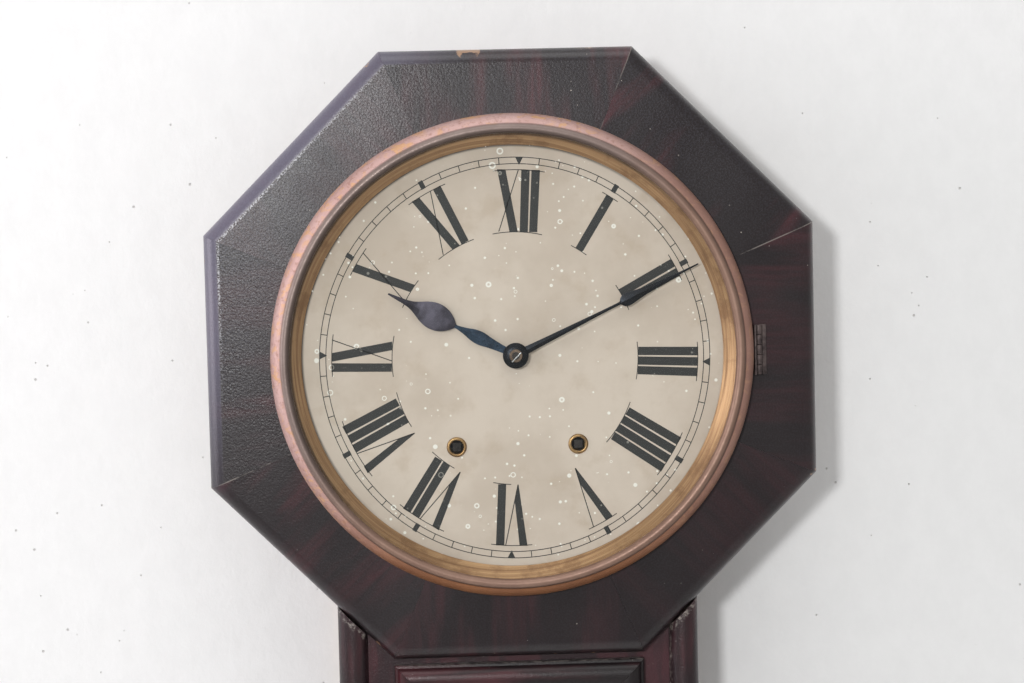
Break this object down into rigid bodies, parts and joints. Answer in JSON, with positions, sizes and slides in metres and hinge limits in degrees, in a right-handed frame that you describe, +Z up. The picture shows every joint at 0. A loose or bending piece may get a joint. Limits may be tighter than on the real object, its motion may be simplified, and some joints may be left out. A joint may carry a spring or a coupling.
{
  "type": "octagonal wall clock",
  "caption": "Octagonal drop wall clock: mitred dark wood head, hinged copper bezel with glass, painted Roman dial, blued hands, glazed drop door, striking spring movement and pendulum.",
  "frame": {"origin": "on the wall plane, in line with the hand arbor", "axes": "+Z up, +X to the right of someone facing the dial, -Y out of the wall towards the viewer"},
  "size_m": [0.365, 0.1124, 0.5545],
  "materials": {
    "veneer": "dark red-brown stained veneer under crazed varnish",
    "deal": "bare softwood, aged",
    "bezel_copper": "worn coppery brass",
    "sight_bronze": "brown bronze",
    "glass": "clear, slightly wavy",
    "dial_paint": "warm beige dial paint, specked",
    "blued_steel": "dark blued steel",
    "brass": "aged brass",
    "steel": "plain steel",
    "iron": "japanned iron"
  },
  "bodies": {
    "case": {"backboard": "deal", "hanger_plate": "iron", "side_left": "veneer", "side_right": "veneer", "top_board": "veneer", "bottom_board_left": "veneer", "bottom_board_right": "veneer", "head_rail_1": "veneer", "head_rail_2": "veneer", "head_rail_3": "veneer", "head_rail_4": "veneer", "head_rail_5": "veneer", "head_rail_6": "veneer", "head_rail_7": "veneer", "head_rail_8": "veneer", "drop_panel": "veneer", "column_left": "veneer", "column_right": "veneer", "movement_block_left": "deal", "movement_block_right": "deal", "back_plate": "brass", "front_plate": "brass", "mainspring_time": "steel", "mainspring_strike": "steel", "gong_coil": "blued_steel", "gong_base": "iron", "dial_plate": "dial_paint", "bezel_hinge_fixed": "bezel_copper", "door_hinge_fixed_1": "brass", "door_hinge_fixed_2": "brass"},
    "bezel": {"bezel_ring": "bezel_copper", "bezel_glass": "glass", "sight_ring": "sight_bronze", "bezel_hinge_moving": "bezel_copper"},
    "drop_door": {"door_frame": "veneer", "door_glass": "glass", "door_hinge_moving_1": "brass", "door_hinge_moving_2": "brass"},
    "door_knob": {"door_knob": "brass"},
    "minute_arbor": {"centre_arbor": "brass", "minute_hand": "blued_steel", "hand_washer": "blued_steel"},
    "hour_pipe": {"hour_wheel": "brass", "hour_hand": "blued_steel"},
    "minute_wheel": {"minute_wheel": "brass"},
    "second_wheel": {"second_wheel": "brass"},
    "great_wheel_time": {"great_wheel_time": "brass"},
    "third_wheel": {"third_wheel": "brass"},
    "escape_wheel": {"escape_wheel": "brass"},
    "winding_arbor_time": {"winding_arbor_time": "steel"},
    "pin_wheel": {"pin_wheel": "brass"},
    "great_wheel_strike": {"great_wheel_strike": "brass"},
    "warning_wheel": {"warning_wheel": "brass"},
    "fly": {"fly": "brass"},
    "winding_arbor_strike": {"winding_arbor_strike": "steel"},
    "hammer": {"hammer": "steel"},
    "pendulum": {"pendulum_rod": "steel"},
    "verge": {"verge": "steel"},
    "bob": {"pendulum_bob": "brass"},
    "rating_nut": {"rating_nut": "brass"}
  },
  "joints": [
    {"name": "bezel_hinge", "type": "hinge", "parent": "case", "child": "bezel", "pos_m": [0.146, -0.0976, -0.0005], "axis": [0, 0, 1], "range_deg": [0, 100]},
    {"name": "drop_door_hinge", "type": "hinge", "parent": "case", "child": "drop_door", "pos_m": [0.0773, -0.0865, -0.24975], "axis": [0, 0, 1], "range_deg": [0, 95]},
    {"name": "door_knob_turn", "type": "hinge", "parent": "drop_door", "child": "door_knob", "pos_m": [-0.0602, -0.085, -0.24975], "axis": [0, -1, 0], "range_deg": [0, 90]},
    {"name": "minute_hand_turn", "type": "hinge", "parent": "case", "child": "minute_arbor", "pos_m": [0, -0.1, 0], "axis": [0, 1, 0], "continuous": true},
    {"name": "hour_hand_turn", "type": "hinge", "parent": "case", "child": "hour_pipe", "pos_m": [0, -0.09, 0], "axis": [0, 1, 0], "continuous": true},
    {"name": "minute_wheel_turn", "type": "hinge", "parent": "case", "child": "minute_wheel", "pos_m": [0.009, -0.07, 0.01559], "axis": [0, 1, 0], "continuous": true},
    {"name": "second_wheel_turn", "type": "hinge", "parent": "case", "child": "second_wheel", "pos_m": [0.02253, -0.05, -0.02072], "axis": [0, 1, 0], "continuous": true},
    {"name": "great_wheel_time_turn", "type": "hinge", "parent": "case", "child": "great_wheel_time", "pos_m": [0.0363, -0.05, -0.054], "axis": [0, 1, 0], "continuous": true},
    {"name": "third_wheel_turn", "type": "hinge", "parent": "case", "child": "third_wheel", "pos_m": [0.01251, -0.05, 0.01529], "axis": [0, 1, 0], "continuous": true},
    {"name": "escape_wheel_turn", "type": "hinge", "parent": "case", "child": "escape_wheel", "pos_m": [0.00001, -0.05, 0.02372], "axis": [0, 1, 0], "continuous": true},
    {"name": "winding_arbor_time_turn", "type": "hinge", "parent": "great_wheel_time", "child": "winding_arbor_time", "pos_m": [0.0363, -0.09, -0.054], "axis": [0, 1, 0], "continuous": true},
    {"name": "pin_wheel_turn", "type": "hinge", "parent": "case", "child": "pin_wheel", "pos_m": [-0.02998, -0.05, -0.01814], "axis": [0, 1, 0], "continuous": true},
    {"name": "great_wheel_strike_turn", "type": "hinge", "parent": "case", "child": "great_wheel_strike", "pos_m": [-0.0363, -0.05, -0.054], "axis": [0, 1, 0], "continuous": true},
    {"name": "warning_wheel_turn", "type": "hinge", "parent": "case", "child": "warning_wheel", "pos_m": [-0.03363, -0.05, 0.00255], "axis": [0, 1, 0], "continuous": true},
    {"name": "fly_turn", "type": "hinge", "parent": "case", "child": "fly", "pos_m": [-0.02822, -0.05, 0.01191], "axis": [0, 1, 0], "continuous": true},
    {"name": "winding_arbor_strike_turn", "type": "hinge", "parent": "great_wheel_strike", "child": "winding_arbor_strike", "pos_m": [-0.0363, -0.09, -0.054], "axis": [0, 1, 0], "continuous": true},
    {"name": "hammer_lift", "type": "hinge", "parent": "case", "child": "hammer", "pos_m": [-0.008, -0.026, -0.08], "axis": [0, -1, 0], "range_deg": [0, 10]},
    {"name": "pendulum_swing", "type": "hinge", "parent": "case", "child": "pendulum", "pos_m": [0, -0.02, 0.044], "axis": [0, 1, 0], "range_deg": [-3, 3]},
    {"name": "verge_rock", "type": "hinge", "parent": "case", "child": "verge", "pos_m": [0, -0.05, 0.044], "axis": [0, 1, 0], "range_deg": [-3, 3]},
    {"name": "bob_slide", "type": "slide", "parent": "pendulum", "child": "bob", "axis": [0, 0, 1], "range_m": [-0.0026, 0.0026]},
    {"name": "rating_nut_turn", "type": "hinge", "parent": "bob", "child": "rating_nut", "pos_m": [0, -0.02, -0.308], "axis": [0, 0, 1], "range_deg": [-1872, 1872]}
  ],
  "couplings": [
    {"joint": "hour_hand_turn", "follows": "minute_hand_turn", "ratio": 0.083333},
    {"joint": "minute_wheel_turn", "follows": "minute_hand_turn", "ratio": -0.33333},
    {"joint": "second_wheel_turn", "follows": "minute_hand_turn", "ratio": -0.41667},
    {"joint": "great_wheel_time_turn", "follows": "minute_hand_turn", "ratio": 0.083333},
    {"joint": "third_wheel_turn", "follows": "minute_hand_turn", "ratio": -10.286},
    {"joint": "escape_wheel_turn", "follows": "minute_hand_turn", "ratio": 88.163},
    {"joint": "great_wheel_strike_turn", "follows": "pin_wheel_turn", "ratio": -0.16667},
    {"joint": "warning_wheel_turn", "follows": "pin_wheel_turn", "ratio": -13},
    {"joint": "fly_turn", "follows": "pin_wheel_turn", "ratio": 91},
    {"joint": "verge_rock", "follows": "pendulum_swing", "ratio": 1},
    {"joint": "rating_nut_turn", "follows": "bob_slide", "rad_per_m": 12566}
  ]
}
